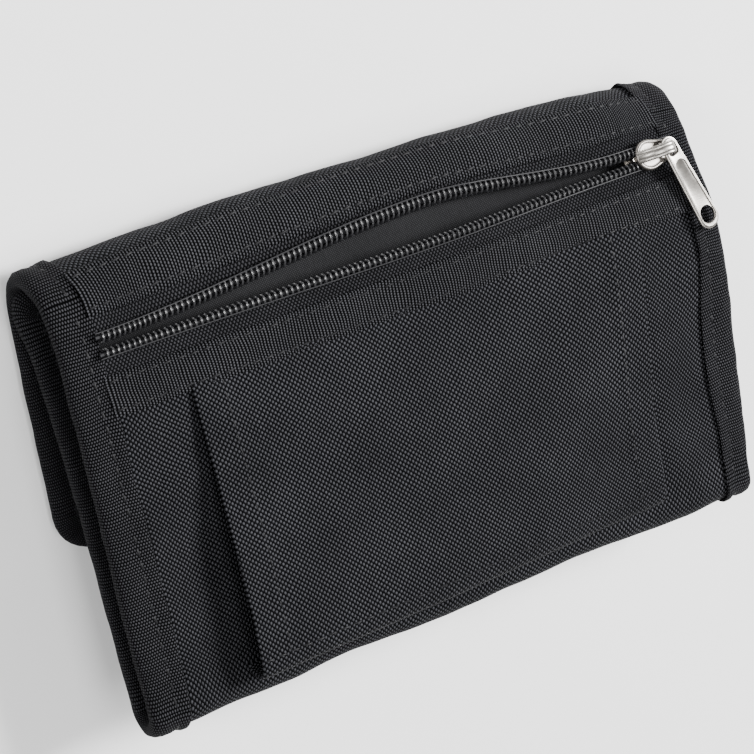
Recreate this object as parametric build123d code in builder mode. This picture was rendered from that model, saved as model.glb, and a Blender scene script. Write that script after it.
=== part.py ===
from build123d import *
import os
from math import cos, radians, sin, tan

# A travel wallet that rolls shut in three: a back panel with a zipped pocket and a belt loop, a short
# front flap hung from its rolled top fold, and an inner panel hung from its tight bottom fold.
# It lies on the flap with the back panel up. X runs across the wallet, +Y points to the top fold,
# and the origin is at the middle of the base.

# Driving dimensions, in millimetres and degrees
width = 184.0             # over the bound edges
height = 114.0            # folded, from the bottom fold to the crest of the top fold
thickness = 31.0          # from the ground to the back panel's face
fabric = 0.8              # outer shell cloth
lining = 0.6              # inner cloth
layers = 3.0              # a panel, from its shell's face through to its lining
tape_face = 8.0           # binding tape on each face of a bound edge
proud = 0.4               # binding tape above the shell's face
seam_gap = 0.2            # left between neighbouring cloths

slope_start = 24.0        # Y where the back panel starts to fall towards the crest
slope_angle = 20.0
bottom_radius = 5.5       # outside of the bottom fold
inner_tilt = 9.0          # inner panel against the ground
inner_length = 97.0       # inner panel from the bottom fold to its free edge
flap_edge = -18.0         # Y of the flap's free edge
corner_radius = 10.0      # the flap's and the inner panel's free corners

back_bend = (60.0, 15.0)      # arcs of the top fold, by the angle of their outward normal
spine_arc = (13.5, -33.5)
front_bend = (-35.0, -90.0)

zip_line = 17.5           # down the slope from where it starts
coil_width = 2.4          # one side of the chain
coil_height = 2.2
coil_offset = 2.1         # middle of one side of the chain from the zip line
tape_width = 6.0          # as much of the lower tape as shows
upper_tape_width = 4.0
mouth_up = 5.0            # how far the upper lip stands back when open
mouth_out = 3.5           # how far the lower lip stands out when open
strip_width = 10.0        # webbing sewn beside the zip

slider_x = 75.8           # middle of the slider when the pocket is open
slider_length = 12.4
slider_width = 9.2
puller_length = 28.8
puller_width = 5.6        # at its tip
puller_neck = 4.7         # width at its head
puller_head = 4.2         # from the end of the puller's head to the axis that it swings on
puller_yaw = 20.0         # off -Y, towards +X
puller_pitch = 10.0       # up from level, towards -Y

# Derived places
half = height / 2
edge_x = width / 2 - tape_face
sheet_x = edge_x - seam_gap
fall = radians(slope_angle)
rise = thickness - proud
crest_radius = (rise * cos(fall) - (half - slope_start) * sin(fall)) / (1 + cos(fall) - sin(fall))
crest_y = half - crest_radius
crest_z = proud + crest_radius
crest_normal = 90 - slope_angle
slope_length = (crest_y + crest_radius * sin(fall) - slope_start) / cos(fall)
fold_y = bottom_radius - half
fold_z = thickness - bottom_radius
inner_normal = 270 - inner_tilt

slope = Plane((0, slope_start, thickness), x_dir=(1, 0, 0), z_dir=(0, sin(fall), cos(fall)))
flap_plane = Plane((0, 0, proud), x_dir=(1, 0, 0), z_dir=(0, 0, -1))
tilt = radians(inner_tilt)
inner_start = (fold_y - bottom_radius * sin(tilt), fold_z - bottom_radius * cos(tilt))
inner_plane = Plane((0, *inner_start), x_dir=(-1, 0, 0), z_dir=(0, -sin(tilt), -cos(tilt)))

os.makedirs("parts", exist_ok=True)
made = []


def finish(builder, label):
    """Label a finished piece and write it."""
    builder.part.label = label
    export_step(builder.part, f"parts/{label}.step")
    made.append(label)


def on_slope(s, h):
    """Y and Z of the point s down the slope and h above its face."""
    return (slope_start + s * cos(fall) + h * sin(fall), thickness - s * sin(fall) + h * cos(fall))


def on_crest(angle, h):
    """Y and Z of the point h outside the top fold, where its outward normal has this angle."""
    reach = crest_radius + h
    return (crest_y + reach * cos(radians(angle)), crest_z + reach * sin(radians(angle)))


def on_bottom(angle, h):
    """Y and Z of the point h outside the bottom fold."""
    reach = bottom_radius + h
    return (fold_y + reach * cos(radians(angle)), fold_z + reach * sin(radians(angle)))


def bend_band(point, angles, low, high):
    """Outline of the cloth from low to high outside a fold, between two angles."""
    start, end = angles
    middle = (start + end) / 2
    ThreePointArc(point(start, high), point(middle, high), point(end, high))
    Line(point(end, high), point(end, low))
    ThreePointArc(point(end, low), point(middle, low), point(start, low))
    Line(point(start, low), point(start, high))


def fold_pieces(point, angles, name):
    """Shell, lining and edge tape of one arc of a fold, each in its own node."""
    for part_name, low, high in (("shell", -fabric, 0), ("lining", -layers, lining - layers)):
        with BuildPart() as cloth:
            with BuildSketch(Plane.YZ.offset(-sheet_x)):
                with BuildLine():
                    bend_band(point, angles, low, high)
                make_face()
            extrude(amount=2 * sheet_x)
        finish(cloth, f"{name}_{part_name}")
    with BuildPart() as tape:
        with BuildSketch(Plane.YZ.offset(edge_x)):
            with BuildLine():
                bend_band(point, angles, seam_gap - layers, proud)
            make_face()
        extrude(amount=tape_face)
        mirror(about=Plane.YZ)
    finish(tape, f"{name}_binding")


def tray_line(z):
    """The pocket's back wall from side to side: flat, with sides that rise to the bound edges."""
    floor_x = sheet_x - 14
    rim_x = sheet_x - 6
    rim_z = z + 4.8
    right = [(floor_x, z), (rim_x, rim_z), (sheet_x, rim_z)]
    return [(-x, height) for x, height in reversed(right)] + right


# ---- Back panel -------------------------------------------------------------------------------------

panel_start = fold_y + seam_gap
pocket_top = 6.5          # down the slope, where the pocket's front ends under the webbing
mouth_top = 24.0          # down the slope, where the cloth above the zip begins
bend = tan(fall / 2)

with BuildPart() as pocket_panel:
    with BuildSketch(Plane.YZ.offset(-sheet_x)):
        with BuildLine():
            Polyline(
                (panel_start, thickness),
                (slope_start, thickness),
                on_slope(pocket_top, 0),
                on_slope(pocket_top, -fabric),
                (slope_start - fabric * bend, thickness - fabric),
                (panel_start, thickness - fabric),
                close=True,
            )
        make_face()
    extrude(amount=2 * sheet_x)
finish(pocket_panel, "pocket_panel")

with BuildPart() as crest_panel:
    with BuildSketch(Plane.YZ.offset(-sheet_x)):
        crest_arc = (crest_normal, back_bend[0])
        with BuildLine():
            bend_band(on_crest, crest_arc, -fabric, 0)
        make_face()
        with BuildLine():
            Polyline(
                on_slope(mouth_top, 0),
                on_slope(slope_length, 0),
                on_slope(slope_length, -fabric),
                on_slope(mouth_top, -fabric),
                close=True,
            )
        make_face()
    extrude(amount=2 * sheet_x)
finish(crest_panel, "crest_panel")

tray_z = 23.6             # lowest face of the pocket's back wall
tray_end = slope_start
with BuildPart() as pocket_back:
    with BuildSketch(Plane.XZ.offset(-tray_end)):
        with BuildLine():
            Polyline(*tray_line(tray_z), *reversed(tray_line(tray_z + lining)), close=True)
        make_face()
    extrude(amount=tray_end - panel_start)
    with BuildSketch(Plane.XZ.offset(-panel_start)):
        with BuildLine():
            rim = tray_line(tray_z + lining / 2)[1:5]
            seam_z = thickness - fabric - seam_gap
            Polyline(*rim, (rim[3][0], seam_z), (rim[0][0], seam_z), close=True)
        make_face()
    extrude(amount=-lining)
finish(pocket_back, "pocket_back")

lining_z = tray_z + lining + 0.05
with BuildPart() as pocket_lining:
    with BuildSketch(Plane.XY.offset(lining_z)):
        with Locations((0, (panel_start + tray_end) / 2)):
            Rectangle(2 * sheet_x - 32, tray_end - panel_start - 4)
    extrude(amount=0.4)
finish(pocket_lining, "pocket_lining")

with BuildPart() as crest_lining:
    with BuildSketch(Plane.YZ.offset(-sheet_x)):
        with BuildLine():
            Polyline(
                (tray_end + seam_gap, tray_z + lining),
                on_crest(back_bend[0] + 1, lining - layers),
                on_crest(back_bend[0] + 1, -layers),
                (tray_end + seam_gap, tray_z),
                close=True,
            )
        make_face()
    extrude(amount=2 * sheet_x)
finish(crest_lining, "crest_lining")

for side, name in ((-1, "binding_left"), (1, "binding_right")):
    with BuildPart() as binding:
        with BuildSketch(Plane.YZ.offset(side * width / 2)):
            low = seam_gap - layers
            with BuildLine():
                Polyline(
                    on_slope(slope_length, proud),
                    (slope_start + proud * bend, thickness + proud),
                    (panel_start, thickness + proud),
                    (panel_start, thickness + low),
                    (slope_start + low * bend, thickness + low),
                    on_slope(slope_length, low),
                    close=True,
                )
            make_face()
            with BuildLine():
                bend_band(on_crest, (crest_normal, back_bend[0]), low, proud)
            make_face()
        extrude(amount=-side * tape_face)
    finish(binding, name)

# The belt loop stands off the back panel, more and more towards its hemmed bottom ridge.
loop_left = -64.5
loop_right = 62.0
loop_face = [(23.5, 1.0), (8.0, 2.8), (-20.0, 6.3), (-44.0, 8.3), (-48.5, 7.2)]
loop_foot = (-49.3, 0.1)

with BuildPart() as belt_loop:
    with BuildSketch(Plane.YZ.offset(loop_left)):
        with BuildLine():
            outer = [(y, thickness + z) for y, z in loop_face]
            foot = (loop_foot[0], thickness + loop_foot[1])
            Polyline(
                *outer,
                foot,
                (foot[0] + fabric, foot[1]),
                *[(y + 0.5 * (y < -45), z - fabric) for y, z in reversed(outer)],
                close=True,
            )
        make_face()
    extrude(amount=loop_right - loop_left)
finish(belt_loop, "belt_loop")

# Webbing above the zip lies over the start of the top fold.
with BuildPart() as webbing_upper:
    with BuildSketch(Plane.YZ.offset(-sheet_x)):
        with BuildLine():
            bend_band(on_crest, (crest_normal - 4, crest_normal - 43), 0.9, 1.6)
        make_face()
    extrude(amount=2 * sheet_x)
finish(webbing_upper, "webbing_upper")

# ---- Zip lips: each swings or slides back into line as the slider closes ----------------------------

tape_low, tape_high = 0.1, 0.5
coil_low = 0.6
slider_left = slider_x - slider_length / 2
mouth_middle = 10.0


def lip_line(base, spread):
    """A lip's line from side to side: level at both ends, and spread away in the middle."""
    chain_start = slider_left - 1
    Spline(
        (-sheet_x, base),
        (mouth_middle, base + spread),
        (chain_start, base),
        tangents=((1, 0), (1, 0), (1, 0)),
    )
    Line((chain_start, base), (sheet_x, base))


def across_slope(s):
    """The plane that stands on the slope at s, facing down towards the belt loop."""
    return Plane(slope.from_local_coords((0, s, 0)), x_dir=(1, 0, 0), z_dir=(0, -cos(fall), sin(fall)))


with BuildPart() as zip_coil_upper:
    with BuildSketch(slope.offset(coil_low)):
        with BuildLine():
            lip_line(zip_line + coil_offset, mouth_up)
        trace(line_width=coil_width)
    extrude(amount=coil_height)
finish(zip_coil_upper, "zip_coil_upper")

tape_inner = coil_offset - coil_width / 2
with BuildPart() as zip_tape_upper:
    with BuildSketch(slope.offset(tape_low)):
        with BuildLine():
            lip_line(zip_line + tape_inner + upper_tape_width / 2, mouth_up)
        trace(line_width=upper_tape_width)
    extrude(amount=tape_high - tape_low)
finish(zip_tape_upper, "zip_tape_upper")

# The lower lip swings out about the webbing's lower edge, so each cloth lifts with its distance from it.
lower_coil = zip_line - tape_inner
with BuildPart() as zip_coil_lower:
    with BuildSketch(across_slope(lower_coil)):
        with BuildLine():
            lip_line(coil_low + coil_height / 2, mouth_out)
        trace(line_width=coil_height)
    extrude(amount=coil_width)
finish(zip_coil_lower, "zip_coil_lower")

with BuildPart() as zip_tape_lower:
    with BuildSketch(across_slope(lower_coil)):
        with BuildLine():
            lip_line((tape_low + tape_high) / 2, mouth_out - 0.6)
        trace(line_width=tape_high - tape_low)
    extrude(amount=tape_width)
finish(zip_tape_lower, "zip_tape_lower")

with BuildPart() as webbing_lower:
    with BuildSketch(across_slope(0.4 + strip_width)):
        with BuildLine():
            lip_line(coil_low + fabric / 2, mouth_out / 3)
        trace(line_width=fabric)
    extrude(amount=strip_width)
finish(webbing_lower, "webbing_lower")

# ---- Slider and puller ------------------------------------------------------------------------------

plate_low = 3.1           # above the slope's face
plate_thick = 1.0
flange_reach = 2.4        # down from the top plate, beside the chain
flange_thick = 0.6
flange_at = 3.9           # middle of a flange from the zip line
bottom_high = -0.2
post_width = 1.2


def slider_outline():
    """A slider plate seen from above: round at its wide, open end, narrower where the chain leaves."""
    lobe = slider_width / 2
    with Locations((slider_x - slider_length / 2 + lobe, zip_line)):
        Circle(lobe)
    with Locations((slider_x + slider_length / 2 - 1, zip_line)):
        RectangleRounded(2, slider_width - 2.4, 0.8)
    make_hull()


with BuildPart() as slider_top_plate:
    with BuildSketch(slope.offset(plate_low)):
        slider_outline()
    extrude(amount=plate_thick)
    top_face = slider_top_plate.faces().sort_by(Axis(slope.origin, slope.z_dir))[-1]
    fillet(top_face.edges(), radius=0.4)
    with BuildSketch(slope.offset(plate_low)):
        with Locations((slider_left + slider_width / 2, zip_line)):
            with GridLocations(0, 2 * flange_at, 1, 2):
                Rectangle(3.0, flange_thick)
    extrude(amount=-flange_reach)
finish(slider_top_plate, "slider_top_plate")

with BuildPart() as slider_bottom_plate:
    with BuildSketch(slope.offset(bottom_high - plate_thick)):
        slider_outline()
    extrude(amount=plate_thick)
finish(slider_bottom_plate, "slider_bottom_plate")

with BuildPart() as slider_post:
    with BuildSketch(slope.offset(bottom_high)):
        with Locations((slider_left + 2.6, zip_line)):
            SlotOverall(3.6, post_width)
    extrude(amount=plate_low - bottom_high)
finish(slider_post, "slider_post")

plate_top = plate_low + plate_thick
bail_rise = 4.1
bail_thick = 0.9
bail_width = 2.2
leg_x = slider_x + 4.6    # axis that the puller swings on, down the bail's right leg
with BuildPart() as slider_bail:
    with BuildSketch(across_slope(zip_line + bail_width / 2)):
        with BuildLine():
            left_foot = slider_left + 0.8
            outer_x = leg_x + bail_thick / 2
            bail_top = plate_top + bail_rise
            crown = FilletPolyline(
                (left_foot, plate_top),
                (left_foot + 2.2, bail_top - 0.3),
                (outer_x, bail_top),
                (outer_x, plate_top),
                radius=1.4,
            )
            inner_crown = FilletPolyline(
                (left_foot + bail_thick * 1.2, plate_top),
                (left_foot + 2.2 + bail_thick * 0.6, bail_top - 0.3 - bail_thick),
                (outer_x - bail_thick, bail_top - bail_thick),
                (outer_x - bail_thick, plate_top),
                radius=0.6,
            )
            Line(crown @ 0, inner_crown @ 0)
            Line(crown @ 1, inner_crown @ 1)
        make_face()
    extrude(amount=bail_width)
finish(slider_bail, "slider_bail")

swing_height = 5.9        # of the puller's middle, above the slope's face at the leg
swing_at = slope.from_local_coords((leg_x, zip_line, swing_height))
pitch = radians(puller_pitch)
yaw = radians(puller_yaw)
along = Vector(sin(yaw), -cos(yaw) * cos(pitch), cos(yaw) * sin(pitch))
puller_plane = Plane(swing_at, x_dir=along, z_dir=(0, sin(pitch), cos(pitch)))
puller_thick = 1.2
recess_depth = 0.3


def tapered(start, start_radius, end, end_radius):
    """The outline round two circles on the puller's middle line."""
    with Locations((start, 0)):
        Circle(start_radius)
    with Locations((end, 0)):
        Circle(end_radius)
    make_hull()


tip_x = puller_length - puller_head - puller_width / 2
with BuildPart() as puller:
    with BuildSketch(puller_plane.offset(-puller_thick / 2)):
        tapered(puller_neck / 2 - puller_head, puller_neck / 2, tip_x, puller_width / 2)
    extrude(amount=puller_thick)
    stacked = puller.faces().sort_by(Axis(puller_plane.origin, puller_plane.z_dir))
    chamfer(stacked[0].edges() + stacked[-1].edges(), length=0.3)
    with BuildSketch(puller_plane.offset(puller_thick / 2)):
        tapered(6.0, 1.6, tip_x - 1.0, 2.0)
    extrude(amount=-recess_depth, mode=Mode.SUBTRACT)
    with BuildSketch(puller_plane.offset(-puller_thick / 2)):
        with Locations((0.2, 0)):
            SlotOverall(5.0, 3.2)
        with Locations((tip_x - 0.5, 0)):
            Ellipse(2.3, 1.75)
    extrude(amount=puller_thick, mode=Mode.SUBTRACT)
finish(puller, "puller")

# ---- Top fold, in three arcs ------------------------------------------------------------------------

fold_pieces(on_crest, back_bend, "fold_back")
fold_pieces(on_crest, spine_arc, "spine")
fold_pieces(on_crest, front_bend, "fold_front")

# ---- Front flap and inner panel: the same build, each on its own plane ------------------------------


def panel_pieces(plane, start, end, name):
    """Shell, lining and edge tape of a panel that is bound on its sides and its rounded free edge.

    The plane lies in the shell's outer face, with its normal outward and its Y towards the free edge.
    """
    length = end - start
    middle = (start + end) / 2
    inset = tape_face + seam_gap
    for part_name, low in (("shell", -fabric), ("lining", -layers)):
        thick = fabric if part_name == "shell" else lining
        with BuildPart() as cloth:
            with BuildSketch(plane.offset(low)):
                with Locations((0, middle - inset / 2)):
                    Rectangle(2 * sheet_x, length - inset)
                free_corners = vertices().group_by(Axis.Y)[-1]
                fillet(free_corners, radius=corner_radius - 6)
            extrude(amount=thick)
        finish(cloth, f"{name}_{part_name}")
    with BuildPart() as tape:
        with BuildSketch(plane.offset(seam_gap - layers)):
            with Locations((0, middle)):
                Rectangle(width, length)
            free_corners = vertices().group_by(Axis.Y)[-1]
            fillet(free_corners, radius=corner_radius)
            with Locations((0, middle - tape_face / 2)):
                Rectangle(2 * edge_x, length - tape_face, mode=Mode.SUBTRACT)
        extrude(amount=layers - seam_gap + proud)
    finish(tape, f"{name}_binding")


flap_start = seam_gap - crest_y
panel_pieces(flap_plane, flap_start, -flap_edge, "flap")
panel_pieces(inner_plane, seam_gap, inner_length, "inner_panel")

hook_start, hook_end = -8.0, 14.0
hook_x = sheet_x - 2
with BuildPart() as hook_tape:
    with BuildSketch(Plane.XY.offset(proud + layers + 0.05)):
        with Locations((0, (hook_start + hook_end) / 2)):
            Rectangle(2 * hook_x, hook_end - hook_start)
    extrude(amount=1.0)
finish(hook_tape, "hook_tape")

with BuildPart() as loop_tape:
    with BuildSketch(inner_plane.offset(0.05)):
        with Locations((0, (hook_start + hook_end) / 2 - inner_start[0])):
            Rectangle(2 * hook_x, hook_end - hook_start)
    extrude(amount=1.0)
finish(loop_tape, "loop_tape")

card_width = 88.0
card_steps = ((14.0, 66.0), (14.0, 52.0))
with BuildPart() as card_pockets:
    for step, (start, end) in enumerate(card_steps):
        with BuildSketch(inner_plane.offset(-layers - 0.15 - 0.65 * step)):
            with Locations((30.0, (start + end) / 2)):
                Rectangle(card_width, end - start)
        extrude(amount=-0.5)
finish(card_pockets, "card_pockets")

# ---- Bottom fold ------------------------------------------------------------------------------------

bottom_arc = (91.5, inner_normal - 1.5)
with BuildPart() as bottom_fold_shell:
    with BuildSketch(Plane.YZ.offset(-sheet_x)):
        with BuildLine():
            bend_band(on_bottom, bottom_arc, -fabric, 0)
        make_face()
    extrude(amount=2 * sheet_x)
finish(bottom_fold_shell, "bottom_fold_shell")

with BuildPart() as bottom_fold_binding:
    with BuildSketch(Plane.YZ.offset(edge_x)):
        with BuildLine():
            bend_band(on_bottom, bottom_arc, seam_gap - layers, proud)
        make_face()
    extrude(amount=tape_face)
    mirror(about=Plane.YZ)
finish(bottom_fold_binding, "bottom_fold_binding")

print(len(made), "nodes")
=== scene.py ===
import math

import bmesh
import bpy
import numpy as np
from mathutils import Matrix, Vector
from mathutils.geometry import tessellate_polygon


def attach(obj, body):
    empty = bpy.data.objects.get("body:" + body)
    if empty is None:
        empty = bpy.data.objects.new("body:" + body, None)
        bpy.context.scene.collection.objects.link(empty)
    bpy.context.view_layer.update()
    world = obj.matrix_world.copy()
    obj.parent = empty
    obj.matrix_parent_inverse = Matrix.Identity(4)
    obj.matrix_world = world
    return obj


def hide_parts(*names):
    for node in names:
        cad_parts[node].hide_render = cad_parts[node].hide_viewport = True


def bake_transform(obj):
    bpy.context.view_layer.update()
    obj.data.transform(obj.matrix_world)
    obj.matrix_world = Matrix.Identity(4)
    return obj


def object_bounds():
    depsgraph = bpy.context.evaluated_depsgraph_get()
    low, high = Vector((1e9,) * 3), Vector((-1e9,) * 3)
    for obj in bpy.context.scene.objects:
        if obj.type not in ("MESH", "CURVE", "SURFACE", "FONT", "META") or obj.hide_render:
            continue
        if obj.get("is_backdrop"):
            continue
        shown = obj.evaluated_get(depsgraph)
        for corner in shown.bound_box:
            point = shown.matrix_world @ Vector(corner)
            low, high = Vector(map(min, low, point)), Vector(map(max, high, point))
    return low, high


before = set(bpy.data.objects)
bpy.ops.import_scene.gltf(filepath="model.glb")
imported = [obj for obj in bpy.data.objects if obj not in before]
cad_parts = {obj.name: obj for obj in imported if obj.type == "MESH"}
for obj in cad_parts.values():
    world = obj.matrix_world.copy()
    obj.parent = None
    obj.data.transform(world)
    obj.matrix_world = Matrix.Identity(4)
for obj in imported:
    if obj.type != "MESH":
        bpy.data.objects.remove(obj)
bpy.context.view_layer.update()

MM = 0.001

# ---- The shell's line, in millimetres, as in the CAD ------------------------------------------------
HALF_HEIGHT = 57.0
THICKNESS = 31.0
PROUD = 0.4
SLOPE_Y = 24.0
SLOPE = math.radians(20)
BOTTOM_R = 5.5
INNER_TILT = math.radians(9)
INNER_POINTS = [(50.8, 5.2), (47, 6.3), (37, 9.0), (25, 11.5), (15, 13.2), (0, 15.1), (-20, 17.0),
                (-40, 18.6)]
FLAP_EDGE = -16.5
EDGE_X = 92.0
TAPE_FACE = 8.0
SEAM_INSET = 7.2
CORNER_R = 10.0
ZIP_S = 17.5
COIL_OFFSET = 2.1
MOUTH_UP = 5.0
MOUTH_ANGLE = math.radians(13.1)
MOUTH_X = 10.0
CHAIN_LEFT, CHAIN_RIGHT = -83.8, 68.6

rise = THICKNESS - PROUD
CREST_R = (rise * math.cos(SLOPE) - (HALF_HEIGHT - SLOPE_Y) * math.sin(SLOPE)) / (
    1 + math.cos(SLOPE) - math.sin(SLOPE)
)
CREST_Y = HALF_HEIGHT - CREST_R
SLOPE_LENGTH = (CREST_Y + CREST_R * math.sin(SLOPE) - SLOPE_Y) / math.cos(SLOPE)
FOLD_Y = BOTTOM_R - HALF_HEIGHT
FOLD_Z = THICKNESS - BOTTOM_R
BEND_R = 18.0


def span(start, end, step):
    return np.linspace(start, end, max(2, int(round(abs(end - start) / step)) + 1))


def curve_through(points, step):
    """Evenly spaced points on a smooth curve through these, with the distance along it and the normals."""
    pts = np.array(points, float)
    padded = np.vstack([2 * pts[0] - pts[1], pts, 2 * pts[-1] - pts[-2]])
    fine = []
    for i in range(1, len(padded) - 2):
        a, b, c, d = padded[i - 1 : i + 3]
        for t in np.linspace(0, 1, 24, endpoint=False):
            quadratic = (2 * a - 5 * b + 4 * c - d) * t**2
            cubic = (3 * b - a - 3 * c + d) * t**3
            fine.append(0.5 * (2 * b + (c - a) * t + quadratic + cubic))
    fine = np.array(fine + [pts[-1]])
    run = np.concatenate([[0], np.cumsum(np.hypot(*np.diff(fine, axis=0).T))])
    t = span(0, run[-1], step)
    even = np.column_stack([np.interp(t, run, fine[:, 0]), np.interp(t, run, fine[:, 1])])
    ahead = np.gradient(even, axis=0)
    ahead /= np.linalg.norm(ahead, axis=1)[:, None]
    return t, even, np.column_stack([-ahead[:, 1], ahead[:, 0]])


def build_line():
    """The shell's outer line from the inner panel's free edge round both folds to the flap's free edge."""
    step = 0.25
    angle = 1.5 * math.pi - INNER_TILT
    y = FOLD_Y + BOTTOM_R * math.cos(angle)
    z = FOLD_Z + BOTTOM_R * math.sin(angle)
    run, line, normal = curve_through([*INNER_POINTS, (y, z)], step)
    rows = [(t, *p, math.atan2(n[1], n[0]) % (2 * math.pi)) for t, p, n in zip(run[:-1], line, normal)]
    length = run[-1]
    marks = {"fold_in": length}

    def straight(distance):
        nonlocal y, z, length
        count = max(2, int(distance / step))
        dy, dz = math.sin(angle), -math.cos(angle)
        for i in range(count):
            t = distance * i / count
            rows.append((length + t, y + dy * t, z + dz * t, angle))
        y += dy * distance
        z += dz * distance
        length += distance

    def turn(radius, end):
        nonlocal y, z, length, angle
        cy, cz = y - radius * math.cos(angle), z - radius * math.sin(angle)
        distance = abs(end - angle) * radius
        count = max(2, int(distance / step))
        for i in range(count):
            a = angle + (end - angle) * i / count
            rows.append((length + distance * i / count, cy + radius * math.cos(a), cz + radius * math.sin(a),
                         a))
        angle = end
        y, z = cy + radius * math.cos(angle), cz + radius * math.sin(angle)
        length += distance

    turn(BOTTOM_R, math.pi / 2)
    marks["back"] = length
    cut = BEND_R * math.tan(SLOPE / 2)
    straight(SLOPE_Y - FOLD_Y - cut)
    turn(BEND_R, math.pi / 2 - SLOPE)
    marks["slope"] = length - cut
    straight(SLOPE_LENGTH - cut)
    marks["crest"] = length
    turn(CREST_R, -math.pi / 2)
    marks["flap"] = length
    straight(CREST_Y - FLAP_EDGE)
    marks["end"] = length
    rows.append((length, y, z, angle))
    return np.array(rows), marks


LINE, MARK = build_line()
L_IN, L_BACK, L_SLOPE, L_CREST, L_FLAP, L_END = (
    MARK[k] for k in ("fold_in", "back", "slope", "crest", "flap", "end")
)


def at_y(y):
    """The distance along the line to this y on the back panel."""
    return np.interp(y, *LINE[(LINE[:, 0] >= L_BACK) & (LINE[:, 0] < L_CREST)][:, 1::-1].T)


def at_angle(degrees):
    """The distance along the line where the top fold's outward normal has this angle."""
    return L_CREST + math.radians(90 - math.degrees(SLOPE) - degrees) * CREST_R


def smooth(t):
    t = np.clip(t, 0, 1)
    return t * t * (3 - 2 * t)


def mouth(x):
    """How far the zip's mouth is open at x, from 0 to 1."""
    left = smooth((x - CHAIN_LEFT) / (MOUTH_X - CHAIN_LEFT))
    right = smooth((CHAIN_RIGHT - x) / (CHAIN_RIGHT - MOUTH_X))
    return np.where(x < MOUTH_X, left, right)


def wave(x, y, seed, size):
    """A smooth irregular wave from -1 to 1, with features of about this size."""
    draws = np.random.default_rng(seed).uniform(0, 2 * math.pi, (5, 2))
    total = 0
    for turn, phase in draws:
        total = total + np.sin((x * math.cos(turn) + y * math.sin(turn)) * 2 * math.pi / size + phase)
    return total / 3.2


def edge_table(rows):
    """A smooth lookup from distance along the line to half the width there."""
    fine = np.arange(-10, L_END + 10, 0.5)
    value = np.interp(fine, *np.array(rows, float).T)
    kernel = np.exp(-0.5 * (np.arange(-12, 13) * 0.5 / 2.4) ** 2)
    padded = np.concatenate([np.full(12, value[0]), value, np.full(12, value[-1])])
    return fine, np.convolve(padded, kernel / kernel.sum(), "valid")


# Half-widths to the shell's outer edge and to the inner edge of its edge tape, each side, along the line
LEFT_OUTER = edge_table([
    (0, 95.2), (15, 94.6), (40, 94.0), (L_IN, 93.2), (L_BACK, 92.6), (at_y(-42), 93.1), (at_y(-35), 93.5),
    (at_y(-10), 94.0), (at_y(12), 94.5), (at_y(22), 94.8), (at_y(30), 94.4), (at_y(36), 93.6),
    (at_y(42), 92.9),
    (at_y(49), 93.1), (at_angle(30), 94.2), (at_angle(-20), 94.8), (L_FLAP, 95.0), (L_FLAP + 20, 95.7),
    (L_END, 95.7),
])
LEFT_INNER = edge_table([
    (0, 87.0), (L_IN, 84.0), (L_BACK, 82.3), (at_y(-35), 82.2), (at_y(-15), 82.9), (at_y(0), 83.4),
    (at_y(10), 84.0),
    (at_y(26), 84.3), (at_y(47), 82.2), (at_angle(60), 82.8), (at_angle(30), 84.6), (at_angle(0), 85.5),
    (L_FLAP, 86.0), (L_END, 87.0),
])
RIGHT_OUTER = edge_table([
    (0, 92.5), (L_IN, 92.5), (L_BACK, 91.6), (at_y(-50), 91.1), (at_y(-41), 91.8), (at_y(-15), 92.2),
    (at_y(3), 92.6),
    (at_y(16), 92.0), (at_y(25), 91.2), (at_y(37), 90.6), (at_y(45), 90.3), (at_angle(65), 90.2),
    (at_angle(45), 90.4), (at_angle(15), 90.8), (L_FLAP, 91.0), (L_END, 92.0),
])
RIGHT_INNER = edge_table([
    (0, 84.5), (L_IN, 84.0), (L_BACK, 82.5), (at_y(-43), 82.3), (at_y(-39), 82.7), (at_y(-33), 82.0),
    (at_y(-22), 81.0),
    (at_y(-5), 81.1), (at_y(4), 83.0), (at_y(12), 84.0), (at_y(16), 83.7), (at_y(24), 82.4), (at_y(28), 81.9),
    (at_y(45), 81.9), (at_y(49), 80.8), (at_angle(50), 79.9), (at_angle(20), 79.8), (at_angle(0), 80.5),
    (L_FLAP, 82.0), (L_END, 84.0),
])
CREST_SHIFT = ([-92, -60, -25, 15, 64, 83, 92], [1.8, 3.3, 3.4, 2.6, 0.5, -1.4, -3.0])


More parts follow.
